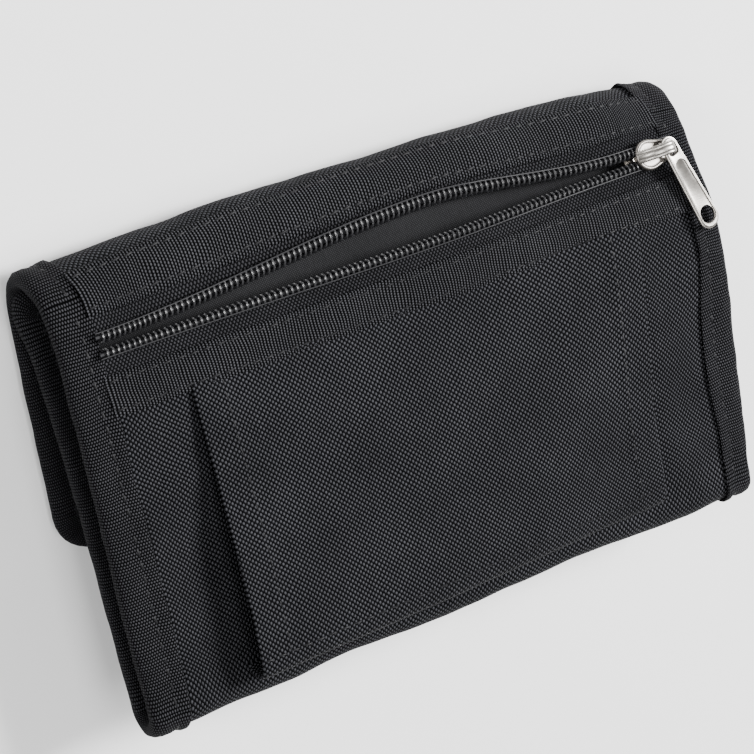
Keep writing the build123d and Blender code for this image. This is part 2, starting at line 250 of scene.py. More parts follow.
def shell(x, length, h, lip=0):
    """Row-frame millimetres of the point at x, this far along the line, and h above the shell's face.

    lip is 0 for the body's own cloth, 1 for the zip's upper lip and -1 for its lower lip.
    """
    x, length, h = np.broadcast_arrays(*(np.asarray(v, float) for v in (x, length, h)))
    y = np.interp(length, LINE[:, 0], LINE[:, 1])
    z = np.interp(length, LINE[:, 0], LINE[:, 2])
    a = np.interp(length, LINE[:, 0], LINE[:, 3])
    quiet = smooth(np.abs(length - (L_SLOPE + ZIP_S)) / 16 - 0.35)
    edge = smooth((np.abs(x) - 76) / 10)
    soft = 0.55 * wave(x, length, 3, 61) + 0.42 * wave(x, length, 4, 27) + 0.12 * wave(x, length, 14, 11)
    h = h + soft * quiet * (1 - 0.6 * edge)
    size = np.abs(x)
    outer = np.where(x < 0, np.interp(length, *LEFT_OUTER), np.interp(length, *RIGHT_OUTER))
    inner = np.where(x < 0, np.interp(length, *LEFT_INNER), np.interp(length, *RIGHT_INNER))
    inboard, face = EDGE_X - TAPE_FACE, TAPE_FACE
    spread = np.where(
        size > inboard,
        inner + (outer - inner) * (size - inboard) / face,
        size + (inner - inboard) * smooth((size - 66) / (inboard - 66)),
    )
    out = 0.14 * wave(np.sign(x) * 9, length, 6, 13) * edge
    px = np.sign(x) * (spread + out)
    py = y + np.cos(a) * h
    pz = z + np.sin(a) * h
    if lip < 0:
        turn = MOUTH_ANGLE * mouth(x)
        dy, dz = py - SLOPE_Y, pz - THICKNESS
        py = SLOPE_Y + dy * np.cos(turn) - dz * np.sin(turn)
        pz = THICKNESS + dy * np.sin(turn) + dz * np.cos(turn)
    else:
        py = py + np.interp(x, *CREST_SHIFT) * smooth((py - 43) / 13)
    py = py - (2.0 + 0.3 * wave(x, 0 * x, 15, 60)) * smooth((-44 - py) / 10)
    poke = smooth((-x - 78) / 12) * smooth((16 - length) / 14)
    px, py, pz = px - 1.0 * poke, py + 2.6 * poke, pz - 1.4 * poke
    pz = pz + 1.8 * smooth((11 - pz) / 12.5)
    return np.stack([px, py, pz], -1)


class Piece:
    """Gathers one object's faces. cloth holds each point's place on the flat cut, in millimetres."""

    def __init__(self, name):
        self.name = name
        self.points, self.cloth, self.faces, self.slots = [], [], [], []
        self.count = 0

    def grid(self, points, cloth, slot=0, around=False):
        rows, columns = points.shape[:2]
        base = self.count
        self.points.append(points.reshape(-1, 3))
        self.cloth.append(np.broadcast_to(cloth, (rows, columns, 2)).reshape(-1, 2))
        self.count += rows * columns
        for i in range(rows - 1):
            for j in range(columns if around else columns - 1):
                k = (j + 1) % columns
                low, high = base + i * columns, base + (i + 1) * columns
                self.faces.append((low + j, low + k, high + k, high + j))
                self.slots.append(slot)
        return base

    def sheet(self, low, high, cloth, slot=0):
        """A closed sheet between two grids of the same shape."""
        rows, columns = low.shape[:2]
        loop = np.concatenate([high, low[:, ::-1]], 1)
        base = self.grid(loop, np.concatenate([cloth, cloth[:, ::-1]], 1), slot, around=True)
        around = 2 * columns
        for row in (0, rows - 1):
            start = base + row * around
            for j in range(columns - 1):
                self.faces.append((start + j, start + j + 1, start + around - 2 - j, start + around - 1 - j))
                self.slots.append(slot)

    def tube(self, loops, cloth, slot=0):
        """A closed tube through loops of points, with its ends capped."""
        rows, columns = loops.shape[:2]
        base = self.grid(loops, cloth, slot, around=True)
        for row in (0, rows - 1):
            self.faces.append(tuple(base + row * columns + j for j in range(columns)))
            self.slots.append(slot)

    def make(self, materials, body, smooth_below=50, flat=None, held="stretched", rests=()):
        mesh = bpy.data.meshes.new(self.name)
        points = np.concatenate(self.points) * MM
        mesh.from_pydata(points.tolist(), [], self.faces)
        mesh.polygons.foreach_set("material_index", self.slots)
        cloth = np.concatenate(self.cloth)
        layer = mesh.attributes.new("cloth", "FLOAT_VECTOR", "POINT")
        layer.data.foreach_set("vector", np.column_stack([cloth, np.zeros(len(cloth))]).ravel())
        work = bmesh.new()
        work.from_mesh(mesh)
        bmesh.ops.recalc_face_normals(work, faces=work.faces)
        work.to_mesh(mesh)
        work.free()
        mesh.polygons.foreach_set("use_smooth", [True] * len(mesh.polygons))
        mesh.set_sharp_from_angle(angle=math.radians(smooth_below))
        for material in materials:
            mesh.materials.append(material)
        obj = bpy.data.objects.new(self.name, mesh)
        bpy.context.scene.collection.objects.link(obj)
        if isinstance(body, str):
            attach(obj, body)
        else:
            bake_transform(obj)
        return obj


# ---- Materials --------------------------------------------------------------------------------------


class Nodes:
    """Short calls for building a node tree."""

    def __init__(self, name):
        self.material = bpy.data.materials.new(name)
        self.material.use_nodes = True
        self.tree = self.material.node_tree
        self.tree.nodes.clear()
        self.shader = self.tree.nodes.new("ShaderNodeBsdfPrincipled")
        output = self.tree.nodes.new("ShaderNodeOutputMaterial")
        self.tree.links.new(self.shader.outputs[0], output.inputs[0])

    def put(self, socket, value):
        if hasattr(value, "is_linked"):
            self.tree.links.new(value, socket)
        else:
            socket.default_value = value

    def maths(self, operation, *values):
        node = self.tree.nodes.new("ShaderNodeMath")
        node.operation = operation
        for socket, value in zip(node.inputs, values):
            self.put(socket, value)
        return node.outputs[0]

    def mix(self, factor, a, b):
        node = self.tree.nodes.new("ShaderNodeMix")
        node.data_type = "RGBA"
        self.put(node.inputs[0], factor)
        self.put(node.inputs[6], a)
        self.put(node.inputs[7], b)
        return node.outputs[2]

    def noise(self, vector, scale, detail=2.0):
        node = self.tree.nodes.new("ShaderNodeTexNoise")
        node.inputs["Scale"].default_value = scale
        node.inputs["Detail"].default_value = detail
        self.tree.links.new(vector, node.inputs["Vector"])
        return node.outputs["Fac"]

    def cloth(self):
        node = self.tree.nodes.new("ShaderNodeAttribute")
        node.attribute_name = "cloth"
        return node.outputs["Vector"]

    def place(self):
        return self.tree.nodes.new("ShaderNodeTexCoord").outputs["Object"]

    def split(self, vector):
        node = self.tree.nodes.new("ShaderNodeSeparateXYZ")
        self.tree.links.new(vector, node.inputs[0])
        return node.outputs

    def bump(self, height, distance, strength=1.0):
        node = self.tree.nodes.new("ShaderNodeBump")
        node.inputs["Distance"].default_value = distance * MM
        node.inputs["Strength"].default_value = strength
        self.tree.links.new(height, node.inputs["Height"])
        self.tree.links.new(node.outputs[0], self.shader.inputs["Normal"])

    def ramp(self, value, low, high):
        node = self.tree.nodes.new("ShaderNodeMapRange")
        self.tree.links.new(value, node.inputs[0])
        node.inputs[1].default_value = low
        node.inputs[2].default_value = high
        return node.outputs[0]


# For each ribbed weave: how deeply its yarns dip between beads, and how sharply their sides fall.
BEADS = {"ribbed": (0.62, 1.3), "turned": (0.95, 0.7)}


def woven(name, pitch, deep, shaded_yarn, lit_yarn, weave="plain", rough=0.62, relief=0.25, bias=0.3):
    """Yarns passing over and under each other, with painted light: the lighter yarn set carries a painted
    glint, the darker set painted shade, and the low gaps between yarns a near-black painted shade. The lighter
    set runs along v, or along u in a turned weave.

    plain is a plain weave. ribbed steps each lighter yarn half a bead past its neighbour, and turned is the
    same with its ribs across the strip.
    """
    n = Nodes(name)
    cloth = n.cloth()
    u, v, _ = n.split(cloth)
    if weave == "turned":
        u, v = v, u
    drift = n.maths("MULTIPLY", n.maths("SUBTRACT", n.noise(cloth, 0.07, 2.0), 0.5), 2.2)
    fuzz = n.noise(cloth, 3.4, 2.0)
    across = n.maths("ADD", n.maths("DIVIDE", u, pitch[0]), drift)
    along = n.maths("ADD", n.maths("DIVIDE", v, pitch[1]), n.maths("MULTIPLY", drift, 0.8))
    column = n.maths("FLOOR", across)
    if weave != "plain":
        along = n.maths("MULTIPLY_ADD", column, 0.5, along)
    row = n.maths("FLOOR", along)
    near_u = n.maths("COSINE",
                     n.maths("MULTIPLY", n.maths("SUBTRACT", n.maths("SUBTRACT", across, column), 0.5),
                             math.pi))
    near_v = n.maths("COSINE",
                     n.maths("MULTIPLY", n.maths("SUBTRACT", n.maths("SUBTRACT", along, row), 0.5), math.pi))
    if weave == "plain":
        under = n.maths("FLOORED_MODULO", n.maths("ADD", column, row), 2.0)
        sign = n.maths("MULTIPLY_ADD", under, -2.0, 1.0)
        warp = n.maths("MULTIPLY_ADD", n.maths("MULTIPLY", near_v, sign), 0.5, bias)
        warp = n.maths("MULTIPLY_ADD", near_u, 0.6, warp)
        weft = n.maths("MULTIPLY", n.maths("MULTIPLY", near_u, sign), -0.5)
        weft = n.maths("MULTIPLY_ADD", near_v, 0.6, weft)
    else:
        beads, gap = BEADS[weave]
        warp = n.maths("MULTIPLY_ADD", near_v, beads, bias + 0.8 - beads)
        warp = n.maths("MULTIPLY", warp, n.maths("POWER", n.maths("MAXIMUM", near_u, 0.0), gap))
        weft = n.maths("MULTIPLY", near_v, 0.2)
    height = n.maths("MAXIMUM", warp, weft)
    # Painted glint: where the warp lies on top the cloth takes the lighter yarn colour, elsewhere the darker
    # one. The two are lit and shaded copies of one black nylon.
    on_top = n.ramp(n.maths("SUBTRACT", warp, weft), 0.0, 0.12)
    yarn = n.mix(on_top, (*shaded_yarn, 1), (*lit_yarn, 1))
    rough_height = n.maths("MULTIPLY_ADD", n.maths("SUBTRACT", fuzz, 0.5), 0.55, height)
    # Painted shade: the low parts of the weave, between the yarns, blend to the near-black gap colour.
    colour = n.mix(n.ramp(rough_height, 0.45, 1.0 + 0.25 * (weave == "plain")), (*deep, 1), yarn)
    patch = n.ramp(n.noise(cloth, 0.045, 4.0), 0.3, 0.72)
    streak = n.tree.nodes.new("ShaderNodeCombineXYZ")
    n.tree.links.new(column, streak.inputs[0])
    n.tree.links.new(n.maths("MULTIPLY", row, 0.13), streak.inputs[1])
    yarn_tone = n.noise(streak.outputs[0], 0.9, 1.0)
    tone = n.maths("MULTIPLY_ADD", patch, 0.3, n.maths("MULTIPLY_ADD", yarn_tone, 0.5, 0.58))
    scale = n.tree.nodes.new("ShaderNodeVectorMath")
    scale.operation = "SCALE"
    n.tree.links.new(colour, scale.inputs[0])
    n.tree.links.new(tone, scale.inputs["Scale"])
    n.tree.links.new(scale.outputs[0], n.shader.inputs["Base Color"])
    n.put(n.shader.inputs["Roughness"], n.maths("MULTIPLY_ADD", fuzz, 0.2, rough - 0.1))
    n.shader.inputs["Specular IOR Level"].default_value = 0.02
    n.shader.inputs["Sheen Weight"].default_value = 0.005
    n.shader.inputs["Sheen Roughness"].default_value = 0.35
    n.bump(n.maths("MULTIPLY_ADD", fuzz, 0.25, height), relief)
    return n.material


def thread(name, colour, rough=0.5, shine=0.5):
    """Sewing thread or nylon coil: one colour with a fine speckle."""
    n = Nodes(name)
    place = n.place()
    speck = n.noise(place, 2600.0, 2.0)
    tone = n.mix(speck, (*[c * 0.6 for c in colour], 1), (*[c * 1.35 for c in colour], 1))
    n.put(n.shader.inputs["Base Color"], tone)
    n.put(n.shader.inputs["Roughness"], n.maths("MULTIPLY_ADD", speck, 0.2, rough - 0.1))
    n.shader.inputs["Specular IOR Level"].default_value = shine
    n.bump(speck, 0.06)
    return n.material


def pile(name, colour):
    """Hook or loop tape: a dense, dull pile of tiny loops."""
    n = Nodes(name)
    cloth = n.cloth()
    cell = n.tree.nodes.new("ShaderNodeTexVoronoi")
    cell.inputs["Scale"].default_value = 1.5
    n.tree.links.new(cloth, cell.inputs["Vector"])
    tip = n.ramp(cell.outputs["Distance"], 0.0, 0.6)
    # Painted light: the colour follows the pile's height. Loop tops are painted lighter as a highlight, and the
    # hollows between them are painted darker as shade.
    n.put(n.shader.inputs["Base Color"],
          n.mix(tip, (*[c * 1.5 for c in colour], 1), (*[c * 0.4 for c in colour], 1)))
    n.put(n.shader.inputs["Roughness"], n.ramp(tip, -2.0, 1.2))
    n.shader.inputs["Sheen Weight"].default_value = 0.4
    n.bump(n.maths("SUBTRACT", 1.0, tip), 0.5)
    return n.material


def nickel(name, colour, rough):
    """Plated zinc: fine polishing lines, cloudy wear and small pits."""
    n = Nodes(name)
    place = n.place()
    stretch = n.tree.nodes.new("ShaderNodeMapping")
    stretch.inputs["Scale"].default_value = (500, 6000, 3000)
    n.tree.links.new(place, stretch.inputs["Vector"])
    lines = n.noise(stretch.outputs[0], 1.0, 3.0)
    cloud = n.noise(place, 320.0, 4.0)
    tone = n.mix(n.ramp(cloud, 0.35, 0.75), (*[c * 0.78 for c in colour], 1), (*colour, 1))
    n.put(n.shader.inputs["Base Color"], tone)
    n.shader.inputs["Metallic"].default_value = 1.0
    wear = n.maths("MULTIPLY_ADD", n.maths("ADD", lines, cloud), 0.16, rough - 0.16)
    n.put(n.shader.inputs["Roughness"], wear)
    n.bump(n.maths("ADD", lines, n.maths("MULTIPLY", cloud, 0.6)), 0.02, 0.6)
    return n.material


# Near-black painted shade for the gaps between yarns. Each woven cloth below takes three colours: its painted
# shade between the yarns, its darker yarn as painted shade, and its lighter yarn with a painted glint.
YARN_GAP_SHADE = (0.0003, 0.0003, 0.0004)
OXFORD = woven("oxford_cloth", (0.68, 0.7), YARN_GAP_SHADE, (0.0025, 0.0025, 0.0031), (0.045, 0.0455, 0.0505),
               relief=0.4)
TAPE = woven("edge_tape", (0.8, 0.54), YARN_GAP_SHADE, (0.0028, 0.0028, 0.0033), (0.038, 0.038, 0.042), "turned",
             relief=0.25)
WEBBING = woven("webbing", (0.84, 0.62), YARN_GAP_SHADE, (0.0022, 0.0022, 0.0027), (0.052, 0.0525, 0.0575), "ribbed",
                relief=0.34)
LINING = woven("lining_cloth", (0.34, 0.34), (0.005,) * 3, (0.014, 0.014, 0.015), (0.026, 0.026, 0.028),
               relief=0.08)
KNIT = woven("zip_tape", (0.7, 0.5), YARN_GAP_SHADE, (0.003, 0.003, 0.0036), (0.03, 0.03, 0.033))
THREAD = thread("sewing_thread", (0.0075, 0.0075, 0.0086), shine=0.15)
COIL = thread("coil_nylon", (0.013, 0.013, 0.0145), rough=0.27, shine=1.0)
CORE = thread("coil_core", (0.01, 0.01, 0.0115), shine=0.2)
PILE = pile("closure_pile", (0.01, 0.01, 0.011))
NICKEL = nickel("satin_nickel", (0.4, 0.38, 0.352), 0.34)
# Painted shade: the slider cap gets a darker, rougher copy of the same nickel, to hold down its reflection of
# the key light.
SHADED_CAP_NICKEL = nickel("cap_nickel_painted_shade", (0.27, 0.252, 0.234), 0.4)

# ---- Building blocks --------------------------------------------------------------------------------


def panel(piece, x, length, low, high, lip=0, slot=0, angle=0.0):
    """A closed sheet over a grid of x and length. low and high are numbers or grids of heights."""
    gx, gl = np.meshgrid(x, length)
    low, high = (np.broadcast_to(v(gx, gl) if callable(v) else v, gx.shape) for v in (low, high))
    cloth = np.stack([gx, gl], -1)
    if angle:
        cloth = np.stack([gl, gx], -1)
    piece.sheet(shell(gx, gl, low, lip), shell(gx, gl, high, lip), cloth, slot)


TAPE_SECTION = [
    (6.2, 0.05), (7.7, 0.3), (8.0, 0.55), (7.7, 0.82), (6.6, 0.84), (5.6, 0.6), (5.0, 0.5), (4.2, 0.66),
    (2.6, 0.78),
    (1.1, 0.5), (0.25, -0.2), (0.0, -1.4), (0.25, -2.6), (1.1, -3.3), (2.6, -3.5), (4.2, -3.42), (5.0, -3.28),
    (5.6, -3.3), (6.6, -3.44), (7.75, -3.3), (8.0, -3.0), (7.6, -2.9), (6.2, -2.6),
]


def edge_tape(piece, x, length, in_x, in_length, slot=0):
    """Folded tape along a path on the flat cut, with the direction in from the edge at each station."""
    section = np.array(TAPE_SECTION)
    run = np.concatenate([[0], np.cumsum(np.hypot(np.diff(x), np.diff(length)))])
    d = section[:, 0][None, :]
    pucker = 0.12 * wave(run[:, None], d * 3, 8, 5.5) + 0.1 * wave(run[:, None], d, 9, 17)
    lift = smooth((d - 6) / 2) * (0.25 + 0.3 * wave(run[:, None], 0 * d, 16, 31))
    h = section[:, 1][None, :] + (pucker + lift) * np.where(section[:, 1] > -1.4, 1, -1)
    points = shell(x[:, None] + in_x[:, None] * d, length[:, None] + in_length[:, None] * d, h)
    girth = np.concatenate([[0], np.cumsum(np.hypot(*np.diff(section, axis=0).T))])
    cloth = np.stack(np.broadcast_arrays(girth[None, :], run[:, None]), -1)
    piece.tube(points, cloth, slot)


def stitches(piece, place, total, pitch=3.6, size=2.7, radius=0.22, slot=1, start=0.6):
    """A row of stitches. place maps distance along the row, distance across it and height to a point."""
    ring = np.linspace(0, 2 * math.pi, 7)[:-1]
    along = np.array([-1.0, -0.86, -0.4, 0.4, 0.86, 1.0]) * size / 2
    fat = np.array([0.2, 0.7, 1.0, 1.0, 0.7, 0.2]) * radius
    sink = np.array([-1.2, -0.35, 0.1, 0.1, -0.35, -1.2]) * radius
    middle = start + size / 2
    while middle + size / 2 < total:
        t = middle + along[:, None] + 0 * ring[None, :]
        across = fat[:, None] * np.cos(ring)[None, :] + 0.1 * along[:, None]
        height = fat[:, None] * np.sin(ring)[None, :] * 0.8 + sink[:, None]
        points = place(t, across, height)
        piece.tube(points, np.stack([t, across], -1), slot)
        middle += pitch


def straight_row(x0, l0, x1, l1, h, lip=0):
    """A stitch row's place function for a straight row on the flat cut, and its length."""
    total = math.hypot(x1 - x0, l1 - l0)
    dx, dl = (x1 - x0) / total, (l1 - l0) / total

    def place(t, across, height):
        return shell(x0 + dx * t - dl * across, l0 + dl * t + dx * across, h + height, lip)

    return place, total


def outline(edge, end, base, corner_radius, inset=0.0):
    """Stations round a panel with a rounded free edge at end, from base to base: x, length and the way in."""
    sign = 1 if end > base else -1
    half, radius = edge - inset, corner_radius - inset
    free = end - sign * inset
    corner = end - sign * corner_radius
    side = span(base, corner, 2.0)
    rows = [(-half, v, 1, 0) for v in side]
    for a in np.linspace(0, math.pi / 2, 9)[1:-1]:
        rows.append((-(edge - corner_radius) - radius * math.cos(a), corner + sign * radius * math.sin(a),
                     math.cos(a), -sign * math.sin(a)))
    rows += [(v, free, 0, -sign) for v in span(-(edge - corner_radius), edge - corner_radius, 2.0)]
    for a in np.linspace(math.pi / 2, 0, 9)[1:-1]:
        rows.append(((edge - corner_radius) + radius * math.cos(a), corner + sign * radius * math.sin(a),
                     -math.cos(a), -sign * math.sin(a)))
    rows += [(half, v, -1, 0) for v in side[::-1]]
    return np.array(rows, float).T


def outline_row(end, base, radius, h):
    """A stitch row that follows a panel's rounded outline, just inside its edge."""
    x, length, in_x, in_length = outline(EDGE_X, end, base, radius, STITCH_IN)
    run = np.concatenate([[0], np.cumsum(np.hypot(np.diff(x), np.diff(length)))])

    def place(t, across, height):
        px, pl, ix, il = (np.interp(t, run, v) for v in (x, length, in_x, in_length))
        return shell(px + ix * across, pl + il * across, h + height)

    return place, run[-1]


def point(length, h=0.0):
    p = shell(0.0, length, h, 1)
    return tuple(float(c) * MM for c in p)


BACK_FOLD = ("back", "spine", point(at_angle(60)), point(at_angle(15)))
FRONT_FOLD = ("spine", "flap", point(at_angle(-35)), point(at_angle(-90)))
BOTTOM_FOLD = ("back", "inner_panel", point(L_BACK), point(L_IN))
SPLIT_BACK = at_angle(64)
SPLIT_SPINE = at_angle(-10)
SHEET_X = EDGE_X - TAPE_FACE + 0.8
X = span(-SHEET_X, SHEET_X, 2.0)

# ---- Shell and linings ------------------------------------------------------------------------------

p = Piece("pocket_panel_cloth")
panel(p, X, span(L_BACK - 0.01, L_SLOPE + 3.2, 1.6), -0.7, 0.0)
pocket_cloth = p.make([OXFORD], "back", flat=(2 * SHEET_X, L_SLOPE + 3.2 - L_BACK),
                      rests=["pocket_back_wall"])
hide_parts("pocket_panel")


def crest_start(x):
    return L_SLOPE + 25.6 + 2.2 * mouth(x)


def crest_cloth(name, start, end, fold, node, flat_name):
    p = Piece(name)
    count = 14 if callable(start) else int(abs(end - start)) + 14
    t = np.linspace(0, 1, count)
    gx, gt = np.meshgrid(X, t)
    first = start(gx) if callable(start) else start
    gl = first + (end - first) * gt
    p.sheet(shell(gx, gl, -0.7), shell(gx, gl, 0.0), np.stack([gx, gl], -1))
    length = end - (float(start(np.array(0.0))) if callable(start) else start)
    obj = p.make([OXFORD], fold, flat=(2 * SHEET_X, length), held="folded", rests=[flat_name])
    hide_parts(*node)
    return obj


crest_cloth("crest_cloth", crest_start, SPLIT_SPINE, BACK_FOLD,
            ("crest_panel", "fold_back_shell", "spine_shell"),
            "crest_fold_lining")
crest_cloth("flap_cloth", SPLIT_SPINE, L_END - SEAM_INSET, FRONT_FOLD, ("fold_front_shell", "flap_shell"),
            "flap_lining_cloth")

p = Piece("bottom_fold_cloth")
panel(p, X, span(L_IN, L_BACK, 0.9), -0.7, 0.0)
obj = p.make([OXFORD], BOTTOM_FOLD, flat=(2 * SHEET_X, L_BACK - L_IN), held="folded",
             rests=["pocket_panel_cloth"])
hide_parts("bottom_fold_shell")

p = Piece("inner_panel_cloth")
panel(p, X, span(SEAM_INSET, L_IN, 2.0), -0.7, 0.0)
obj = p.make([OXFORD], "inner_panel", flat=(2 * SHEET_X, L_IN - SEAM_INSET),
             rests=["inner_panel_lining_cloth"])
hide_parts("inner_panel_shell")


def lining_top(x, length):
    """Height of the pocket's back wall: deep in the middle, meeting the shell at its bound sides and ends."""
    middle = smooth((81 - np.abs(x)) / 14)
    rises = smooth((length - L_BACK - 1) / 9) * (1 - smooth((length - L_SLOPE + 4) / 32))
    folds = 0.35 * wave(x, length, 12, 33) + 0.16 * wave(x, length, 13, 14)
    return -2.5 - (3.9 + folds) * middle * rises


p = Piece("pocket_back_wall")
panel(p, X, span(L_BACK + 0.6, at_angle(62), 2.0), lambda x, v: lining_top(x, v) - 0.6, lining_top)
back_wall = p.make([LINING], "back", flat=(2 * SHEET_X, at_angle(62) - L_BACK - 0.6), held="stretched",
                   rests=["inner_panel_cloth"])
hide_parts("pocket_back", "pocket_lining", "crest_lining")

for name, start, end, body, nodes in (
    ("crest_fold_lining", at_angle(62), SPLIT_SPINE, BACK_FOLD, ("fold_back_lining", "spine_lining")),
    ("flap_lining_cloth", SPLIT_SPINE, L_END - SEAM_INSET, FRONT_FOLD, ("fold_front_lining", "flap_lining")),
    ("inner_panel_lining_cloth", SEAM_INSET, L_IN + 3.0, "inner_panel", ("inner_panel_lining",)),
):
    p = Piece(name)
    panel(p, X, span(start, end, 1.5), -3.1, -2.5)
    obj = p.make([LINING], body, flat=(2 * SHEET_X, end - start), held="folded", rests=["flap_cloth"])
    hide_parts(*nodes)

# ---- Edge tape --------------------------------------------------------------------------------------


STITCH_IN = 5.3


def side_tape(piece, side, start, end, step=1.5):
    length = span(start, end, step)
    x = np.full_like(length, side * EDGE_X)
    edge_tape(piece, x, length, np.full_like(length, -side), np.zeros_like(length))
    place, total = straight_row(side * (EDGE_X - STITCH_IN), start, side * (EDGE_X - STITCH_IN), end, 0.5)
    stitches(piece, place, total)


for side, name, node in ((-1, "left", "binding_left"), (1, "right", "binding_right")):
    p = Piece(f"back_edge_tape_{name}")
    side_tape(p, side, L_BACK, SPLIT_BACK)
    obj = p.make([TAPE, THREAD], "back")
    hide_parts(node)

p = Piece("crest_edge_tape")
for side in (-1, 1):
    side_tape(p, side, SPLIT_BACK, SPLIT_SPINE, 0.8)
obj = p.make([TAPE, THREAD], BACK_FOLD)
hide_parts("fold_back_binding", "spine_binding")

p = Piece("bottom_fold_edge_tape")
for side in (-1, 1):
    side_tape(p, side, L_IN, L_BACK, 0.9)
obj = p.make([TAPE, THREAD], BOTTOM_FOLD)
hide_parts("bottom_fold_binding")

for name, end, base, radius, body, nodes in (
    ("inner_panel_edge_tape", 0.0, L_IN, 7.0, "inner_panel", ("inner_panel_binding",)),
    ("flap_edge_tape", L_END, SPLIT_SPINE, CORNER_R, FRONT_FOLD, ("fold_front_binding", "flap_binding")),
):
    p = Piece(name)
    edge_tape(p, *outline(EDGE_X, end, base, radius))
    for h in (0.5, -3.3):
        place, total = outline_row(end, base, radius, h)
        stitches(p, place, total)
    obj = p.make([TAPE, THREAD], body)
    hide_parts(*nodes)

# ---- Belt loop --------------------------------------------------------------------------------------

LOOP_LEFT, LOOP_RIGHT = -64.5, 62.0
LOOP_POINTS = [
    (26.0, 0.25), (23.0, 0.5), (14.0, 1.6), (0.0, 3.6), (-16.0, 5.9), (-32.0, 7.5), (-43.0, 8.2),
    (-47.6, 7.7),
    (-49.2, 5.8), (-49.4, 3.0), (-49.0, 0.4), (-47.0, 0.15),
]


loop_t, loop_line, loop_normal = curve_through(LOOP_POINTS, 1.2)
if loop_normal[3, 1] < 0:
    loop_normal = -loop_normal


def loop_at(x, t, h):
    """Row-frame millimetres on the belt loop: x across, t along it from the webbing, h above its middle."""
    x, t, h = np.broadcast_arrays(*(np.asarray(v, float) for v in (x, t, h)))
    y = np.interp(t, loop_t, loop_line[:, 0])
    z = np.interp(t, loop_t, loop_line[:, 1])
    ny = np.interp(t, loop_t, loop_normal[:, 0])
    nz = np.interp(t, loop_t, loop_normal[:, 1])
    free = smooth((t - 6) / 30) * smooth((loop_t[-1] - 4 - t) / 8)
    ends = np.abs((x - 0.5 * (LOOP_LEFT + LOOP_RIGHT)) / (0.5 * (LOOP_RIGHT - LOOP_LEFT)))
    h = h + free * (0.35 * wave(x, t, 21, 70) + 0.5 * (1 - ends**2) + 0.12 * wave(x, t, 22, 19))
    lean = np.where(x > 0, 4.0 - 7.5 * smooth(t / 60),
                    0.4 * wave(t, 0 * t, 23, 40)) * smooth((ends - 0.3) / 0.7)
    drop = 1.4 * smooth((t - 55) / 20) * (x / 60)
    return np.stack([x + lean, y + ny * h + drop, THICKNESS + z + nz * h], -1)


p = Piece("belt_loop_cloth")
HEM = 9.0
hem_x = np.concatenate([
    [LOOP_LEFT, LOOP_LEFT + 0.12, LOOP_LEFT + 0.5], span(LOOP_LEFT + 1.2, LOOP_LEFT + HEM, 1.3),
    [LOOP_LEFT + HEM + 0.35], span(LOOP_LEFT + HEM + 2, LOOP_RIGHT - HEM - 2, 2.2), [LOOP_RIGHT - HEM - 0.35],
    span(LOOP_RIGHT - HEM, LOOP_RIGHT - 1.2, 1.3), [LOOP_RIGHT - 0.5, LOOP_RIGHT - 0.12, LOOP_RIGHT],
])
inside = np.minimum(hem_x - LOOP_LEFT, LOOP_RIGHT - hem_x)
round_edge = np.sqrt(np.clip(1 - (1 - np.clip(inside / 0.8, 0, 1)) ** 2, 0, 1))
hem = np.where(inside <= HEM, 0.75, 0.4)
gx, gt = np.meshgrid(hem_x, loop_t)
high = 0.4 * round_edge + 0.12 * (inside <= HEM)
low = -hem * round_edge
p.sheet(loop_at(gx, gt, low[None, :]), loop_at(gx, gt, high[None, :]), np.stack([gx, gt], -1))
for row_x in (LOOP_LEFT + HEM - 0.9, LOOP_RIGHT - HEM + 0.9):
    stitches(p, lambda t, across, height, row_x=row_x: loop_at(row_x + across, t, 0.46 + height),
             loop_t[-1] - 12)
stitches(p, lambda t, across, height: loop_at(LOOP_LEFT + t, loop_t[-1] - 13.5 + across, 0.46 + height),
         LOOP_RIGHT - LOOP_LEFT)
obj = p.make([OXFORD, THREAD], "back", flat=(LOOP_RIGHT - LOOP_LEFT, loop_t[-1]),
             rests=["pocket_panel_cloth"])
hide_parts("belt_loop")

# ---- Webbing, zip tapes and coils -------------------------------------------------------------------

LEFT_HALF = ((CHAIN_LEFT * MM, 0, 0), (MOUTH_X * MM, 0, 0))
RIGHT_HALF = ((CHAIN_RIGHT * MM, 0, 0), (MOUTH_X * MM, 0, 0))
X_LEFT = span(-SHEET_X, MOUTH_X, 1.6)
X_RIGHT = span(MOUTH_X, SHEET_X, 1.6)
STRIP = 10.0
WEB_EDGES = np.array([0, 0.12, 0.45, 1.6, 3.2, 4.8, 5.2, 6.8, 8.4, 9.55, 9.88, 10.0])


def web_profile(w):
    """Rounded selvedges, and a shallow groove along each stitch row."""
    edge = np.minimum(w, STRIP - w)
    crown = np.sqrt(np.clip(1 - (1 - np.clip(edge / 0.5, 0, 1)) ** 2, 0, 1))
    return crown * 0.72 - 0.12 * np.exp(-((edge - 1.6) ** 2) / 0.35)


gx, gw = np.meshgrid(X, WEB_EDGES)
upper_l = crest_start(gx) - 1.4 + gw
p = Piece("webbing_upper_strip")
p.sheet(shell(gx, upper_l, 0.85), shell(gx, upper_l, 0.85 + np.maximum(web_profile(gw), 0.01)),
        np.stack([gx, gw], -1))
for w in (1.6, 8.4):
    stitches(p, lambda t, across, height, w=w: shell(
        -SHEET_X + t, crest_start(-SHEET_X + t) - 1.4 + w + across, 1.5 + height), 2 * SHEET_X)
obj = p.make([WEBBING, THREAD], BACK_FOLD)
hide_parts("webbing_upper")


